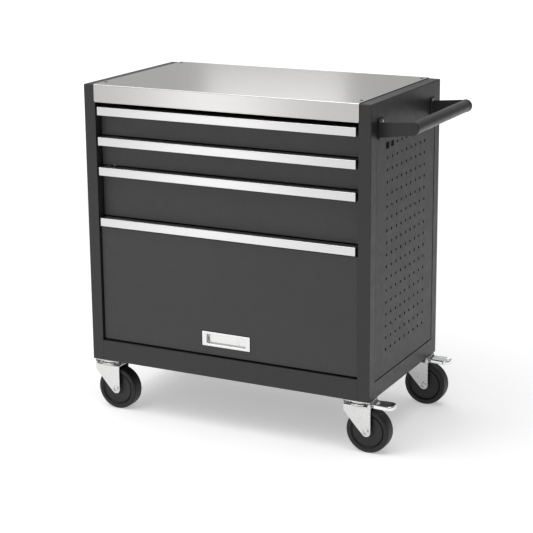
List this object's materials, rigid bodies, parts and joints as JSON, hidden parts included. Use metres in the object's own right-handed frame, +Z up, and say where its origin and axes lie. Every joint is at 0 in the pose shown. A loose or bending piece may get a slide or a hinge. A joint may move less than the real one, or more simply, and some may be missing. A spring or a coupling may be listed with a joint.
{
  "type": "rolling tool chest",
  "caption": "Rolling tool chest: pull-out drawers over a lift-up door compartment, perforated sides, metal worktop, side push handle and swivel casters with foot brakes.",
  "frame": {"origin": "on the floor under the middle of the bounding box, push handle included", "axes": "+X to the chest's right, where the push handle is; +Y to its back; +Z up"},
  "size_m": [0.7574, 0.3774, 0.7337],
  "materials": {
    "cabinet_paint": "fine-textured charcoal powder coat, satin",
    "panel_paint": "fine-textured dark grey powder coat, satin",
    "worktop_steel": "brushed stainless sheet",
    "pull_aluminium": "satin anodised aluminium",
    "zinc_plate": "bright zinc plate",
    "brake_chrome": "chrome-plated pressed steel",
    "wheel_rubber": "matte dark rubber",
    "black_nylon": "matte black nylon"
  },
  "bodies": {
    "cabinet": {"side_left": "cabinet_paint", "peg_panel_left": "panel_paint", "door_track_left": "zinc_plate", "side_right": "cabinet_paint", "peg_panel_right": "panel_paint", "door_track_right": "zinc_plate", "back_panel": "cabinet_paint", "base_pan": "cabinet_paint", "divider_shelf": "cabinet_paint", "header_bar": "pull_aluminium", "top_rail": "cabinet_paint", "worktop": "worktop_steel", "handle_tube": "cabinet_paint", "handle_bracket_front": "cabinet_paint", "handle_bracket_rear": "cabinet_paint", "handle_cap_front": "black_nylon", "handle_cap_rear": "black_nylon", "slide_1_outer_left": "zinc_plate", "slide_1_outer_right": "zinc_plate", "slide_2_outer_left": "zinc_plate", "slide_2_outer_right": "zinc_plate", "slide_3_outer_left": "zinc_plate", "slide_3_outer_right": "zinc_plate", "caster_plate_front_left": "zinc_plate", "caster_plate_rear_left": "zinc_plate", "caster_plate_front_right": "zinc_plate", "caster_plate_rear_right": "zinc_plate"},
    "drawer_1": {"drawer_1_front": "cabinet_paint", "drawer_1_tray": "cabinet_paint", "drawer_1_pull": "pull_aluminium", "slide_1_inner_left": "zinc_plate", "slide_1_inner_right": "zinc_plate"},
    "drawer_2": {"drawer_2_front": "cabinet_paint", "drawer_2_tray": "cabinet_paint", "drawer_2_pull": "pull_aluminium", "slide_2_inner_left": "zinc_plate", "slide_2_inner_right": "zinc_plate"},
    "drawer_3": {"drawer_3_front": "cabinet_paint", "drawer_3_tray": "cabinet_paint", "drawer_3_pull": "pull_aluminium", "slide_3_inner_left": "zinc_plate", "slide_3_inner_right": "zinc_plate"},
    "door_carriage": {"door_glider_left": "black_nylon", "door_glider_right": "black_nylon"},
    "door": {"door_panel": "cabinet_paint", "door_pull": "zinc_plate"},
    "caster_front_left": {"caster_fork_front_left": "zinc_plate", "caster_axle_front_left": "zinc_plate"},
    "wheel_front_left": {"caster_wheel_front_left": "wheel_rubber"},
    "caster_rear_left": {"caster_fork_rear_left": "zinc_plate", "caster_axle_rear_left": "zinc_plate"},
    "wheel_rear_left": {"caster_wheel_rear_left": "wheel_rubber"},
    "caster_front_right": {"caster_fork_front_right": "zinc_plate", "caster_axle_front_right": "zinc_plate"},
    "wheel_front_right": {"caster_wheel_front_right": "wheel_rubber"},
    "brake_front_right": {"brake_pedal_front_right": "brake_chrome"},
    "caster_rear_right": {"caster_fork_rear_right": "zinc_plate", "caster_axle_rear_right": "zinc_plate"},
    "wheel_rear_right": {"caster_wheel_rear_right": "wheel_rubber"},
    "brake_rear_right": {"brake_pedal_rear_right": "brake_chrome"}
  },
  "joints": [
    {"name": "drawer_1_slide", "type": "slide", "parent": "cabinet", "child": "drawer_1", "axis": [0, -1, 0], "range_m": [0, 0.27]},
    {"name": "drawer_2_slide", "type": "slide", "parent": "cabinet", "child": "drawer_2", "axis": [0, -1, 0], "range_m": [0, 0.27]},
    {"name": "drawer_3_slide", "type": "slide", "parent": "cabinet", "child": "drawer_3", "axis": [0, -1, 0], "range_m": [0, 0.27]},
    {"name": "door_slide", "type": "slide", "parent": "cabinet", "child": "door_carriage", "axis": [0, 1, 0], "range_m": [0, 0.235]},
    {"name": "door_lift", "type": "hinge", "parent": "door_carriage", "child": "door", "pos_m": [-0.04365, -0.174, 0.3993], "axis": [-1, 0, 0], "range_deg": [0, 90]},
    {"name": "caster_swivel_front_left", "type": "hinge", "parent": "cabinet", "child": "caster_front_left", "pos_m": [-0.34765, -0.161, 0.1], "axis": [0, 0, 1], "continuous": true},
    {"name": "wheel_spin_front_left", "type": "hinge", "parent": "caster_front_left", "child": "wheel_front_left", "pos_m": [-0.32615, -0.161, 0.0475], "axis": [0, 1, 0], "continuous": true},
    {"name": "caster_swivel_rear_left", "type": "hinge", "parent": "cabinet", "child": "caster_rear_left", "pos_m": [-0.34765, 0.161, 0.1], "axis": [0, 0, 1], "continuous": true},
    {"name": "wheel_spin_rear_left", "type": "hinge", "parent": "caster_rear_left", "child": "wheel_rear_left", "pos_m": [-0.32615, 0.161, 0.0475], "axis": [0, 1, 0], "continuous": true},
    {"name": "caster_swivel_front_right", "type": "hinge", "parent": "cabinet", "child": "caster_front_right", "pos_m": [0.26035, -0.161, 0.1], "axis": [0, 0, 1], "continuous": true},
    {"name": "wheel_spin_front_right", "type": "hinge", "parent": "caster_front_right", "child": "wheel_front_right", "pos_m": [0.28185, -0.161, 0.0475], "axis": [0, 1, 0], "continuous": true},
    {"name": "brake_press_front_right", "type": "hinge", "parent": "caster_front_right", "child": "brake_front_right", "pos_m": [0.28835, -0.161, 0.1063], "axis": [0, 1, 0], "range_deg": [0, 10]},
    {"name": "caster_swivel_rear_right", "type": "hinge", "parent": "cabinet", "child": "caster_rear_right", "pos_m": [0.26035, 0.161, 0.1], "axis": [0, 0, 1], "continuous": true},
    {"name": "wheel_spin_rear_right", "type": "hinge", "parent": "caster_rear_right", "child": "wheel_rear_right", "pos_m": [0.28185, 0.161, 0.0475], "axis": [0, 1, 0], "continuous": true},
    {"name": "brake_press_rear_right", "type": "hinge", "parent": "caster_rear_right", "child": "brake_rear_right", "pos_m": [0.28835, 0.161, 0.1063], "axis": [0, 1, 0], "range_deg": [0, 10]}
  ]
}
